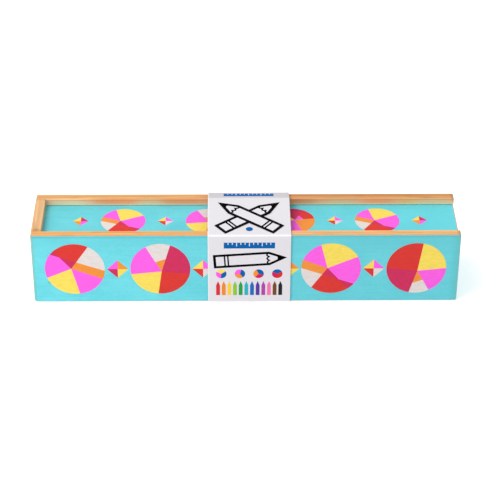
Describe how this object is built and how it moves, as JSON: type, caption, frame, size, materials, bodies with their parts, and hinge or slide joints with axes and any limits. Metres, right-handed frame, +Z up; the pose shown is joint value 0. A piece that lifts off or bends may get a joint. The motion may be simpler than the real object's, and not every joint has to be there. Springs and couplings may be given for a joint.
{
  "type": "pencil box",
  "caption": "Long wooden pencil box with a grooved sliding lid and a loose card sleeve, packed with pencils, a ruler and a sharpener.",
  "frame": {"origin": "under the middle of the box, on the surface that its card sleeve stands on", "axes": "+X along the box towards the mouth where the lid slides out, -Y to the front face, +Z up"},
  "size_m": [0.21, 0.04, 0.0411],
  "materials": {
    "painted_pine": "painted matt, with bare top edges",
    "floor_wood": "bare",
    "sleeve_card": "smooth, uncoated",
    "ruler_wood": "lacquered",
    "sharpener_metal": "satin",
    "blade_steel": "satin",
    "pencil_01_lacquer": "lacquered",
    "pencil_02_lacquer": "lacquered",
    "pencil_03_lacquer": "lacquered",
    "pencil_04_lacquer": "lacquered",
    "pencil_05_lacquer": "lacquered",
    "pencil_06_lacquer": "lacquered",
    "pencil_07_lacquer": "lacquered",
    "pencil_08_lacquer": "lacquered",
    "pencil_09_lacquer": "lacquered",
    "pencil_10_lacquer": "lacquered",
    "pencil_11_lacquer": "lacquered",
    "pencil_12_lacquer": "lacquered",
    "pencil_01_pigment": "waxy",
    "pencil_02_pigment": "waxy",
    "pencil_03_pigment": "waxy",
    "pencil_04_pigment": "waxy",
    "pencil_05_pigment": "waxy",
    "pencil_06_pigment": "waxy",
    "pencil_07_pigment": "waxy",
    "pencil_08_pigment": "waxy",
    "pencil_09_pigment": "waxy",
    "pencil_10_pigment": "waxy",
    "pencil_11_pigment": "waxy",
    "pencil_12_pigment": "waxy"
  },
  "bodies": {
    "box": {"front_wall": "painted_pine", "back_wall": "painted_pine", "closed_end_wall": "painted_pine", "low_end_wall": "painted_pine", "floor_panel": "floor_wood"},
    "sliding_lid": {"lid": "painted_pine"},
    "card_sleeve": {"sleeve": "sleeve_card"},
    "pencil_01_body": {"pencil_01_casing": "pencil_01_lacquer", "pencil_01_core": "pencil_01_pigment"},
    "pencil_02_body": {"pencil_02_casing": "pencil_02_lacquer", "pencil_02_core": "pencil_02_pigment"},
    "pencil_03_body": {"pencil_03_casing": "pencil_03_lacquer", "pencil_03_core": "pencil_03_pigment"},
    "pencil_04_body": {"pencil_04_casing": "pencil_04_lacquer", "pencil_04_core": "pencil_04_pigment"},
    "pencil_05_body": {"pencil_05_casing": "pencil_05_lacquer", "pencil_05_core": "pencil_05_pigment"},
    "pencil_06_body": {"pencil_06_casing": "pencil_06_lacquer", "pencil_06_core": "pencil_06_pigment"},
    "pencil_07_body": {"pencil_07_casing": "pencil_07_lacquer", "pencil_07_core": "pencil_07_pigment"},
    "pencil_08_body": {"pencil_08_casing": "pencil_08_lacquer", "pencil_08_core": "pencil_08_pigment"},
    "pencil_09_body": {"pencil_09_casing": "pencil_09_lacquer", "pencil_09_core": "pencil_09_pigment"},
    "pencil_10_body": {"pencil_10_casing": "pencil_10_lacquer", "pencil_10_core": "pencil_10_pigment"},
    "pencil_11_body": {"pencil_11_casing": "pencil_11_lacquer", "pencil_11_core": "pencil_11_pigment"},
    "pencil_12_body": {"pencil_12_casing": "pencil_12_lacquer", "pencil_12_core": "pencil_12_pigment"},
    "loose_ruler": {"ruler": "ruler_wood"},
    "loose_sharpener": {"sharpener_body": "sharpener_metal", "sharpener_blade": "blade_steel", "sharpener_screw": "blade_steel"}
  },
  "joints": [
    {"name": "lid_slide", "type": "slide", "parent": "box", "child": "sliding_lid", "axis": [1, 0, 0], "range_m": [0, 0.21]},
    {"name": "sleeve_slide", "type": "slide", "parent": "box", "child": "card_sleeve", "axis": [1, 0, 0], "range_m": [-0.13, 0.13]},
    {"name": "pencil_01_slide", "type": "slide", "parent": "box", "child": "pencil_01_body", "axis": [1, 0, 0], "range_m": [0, 0.0083]},
    {"name": "pencil_02_slide", "type": "slide", "parent": "box", "child": "pencil_02_body", "axis": [1, 0, 0], "range_m": [0, 0.0083]},
    {"name": "pencil_03_slide", "type": "slide", "parent": "box", "child": "pencil_03_body", "axis": [1, 0, 0], "range_m": [0, 0.0083]},
    {"name": "pencil_04_slide", "type": "slide", "parent": "box", "child": "pencil_04_body", "axis": [1, 0, 0], "range_m": [0, 0.0083]},
    {"name": "pencil_05_slide", "type": "slide", "parent": "box", "child": "pencil_05_body", "axis": [1, 0, 0], "range_m": [0, 0.0083]},
    {"name": "pencil_06_slide", "type": "slide", "parent": "box", "child": "pencil_06_body", "axis": [1, 0, 0], "range_m": [0, 0.0083]},
    {"name": "pencil_07_slide", "type": "slide", "parent": "box", "child": "pencil_07_body", "axis": [1, 0, 0], "range_m": [0, 0.0083]},
    {"name": "pencil_08_slide", "type": "slide", "parent": "box", "child": "pencil_08_body", "axis": [1, 0, 0], "range_m": [0, 0.0083]},
    {"name": "pencil_09_slide", "type": "slide", "parent": "box", "child": "pencil_09_body", "axis": [1, 0, 0], "range_m": [0, 0.0083]},
    {"name": "pencil_10_slide", "type": "slide", "parent": "box", "child": "pencil_10_body", "axis": [1, 0, 0], "range_m": [0, 0.0083]},
    {"name": "pencil_11_slide", "type": "slide", "parent": "box", "child": "pencil_11_body", "axis": [1, 0, 0], "range_m": [0, 0.0083]},
    {"name": "pencil_12_slide", "type": "slide", "parent": "box", "child": "pencil_12_body", "axis": [1, 0, 0], "range_m": [0, 0.0083]},
    {"name": "ruler_slide", "type": "slide", "parent": "box", "child": "loose_ruler", "axis": [1, 0, 0], "range_m": [0, 0.0412]},
    {"name": "sharpener_slide", "type": "slide", "parent": "box", "child": "loose_sharpener", "axis": [0, 1, 0], "range_m": [-0.0017, 0.0017]}
  ],
  "couplings": [
    {"joint": "pencil_02_slide", "follows": "pencil_01_slide", "ratio": 1},
    {"joint": "pencil_03_slide", "follows": "pencil_01_slide", "ratio": 1},
    {"joint": "pencil_04_slide", "follows": "pencil_01_slide", "ratio": 1},
    {"joint": "pencil_05_slide", "follows": "pencil_01_slide", "ratio": 1},
    {"joint": "pencil_06_slide", "follows": "pencil_01_slide", "ratio": 1},
    {"joint": "pencil_07_slide", "follows": "pencil_01_slide", "ratio": 1},
    {"joint": "pencil_08_slide", "follows": "pencil_01_slide", "ratio": 1},
    {"joint": "pencil_09_slide", "follows": "pencil_01_slide", "ratio": 1},
    {"joint": "pencil_10_slide", "follows": "pencil_01_slide", "ratio": 1},
    {"joint": "pencil_11_slide", "follows": "pencil_01_slide", "ratio": 1},
    {"joint": "pencil_12_slide", "follows": "pencil_01_slide", "ratio": 1}
  ]
}
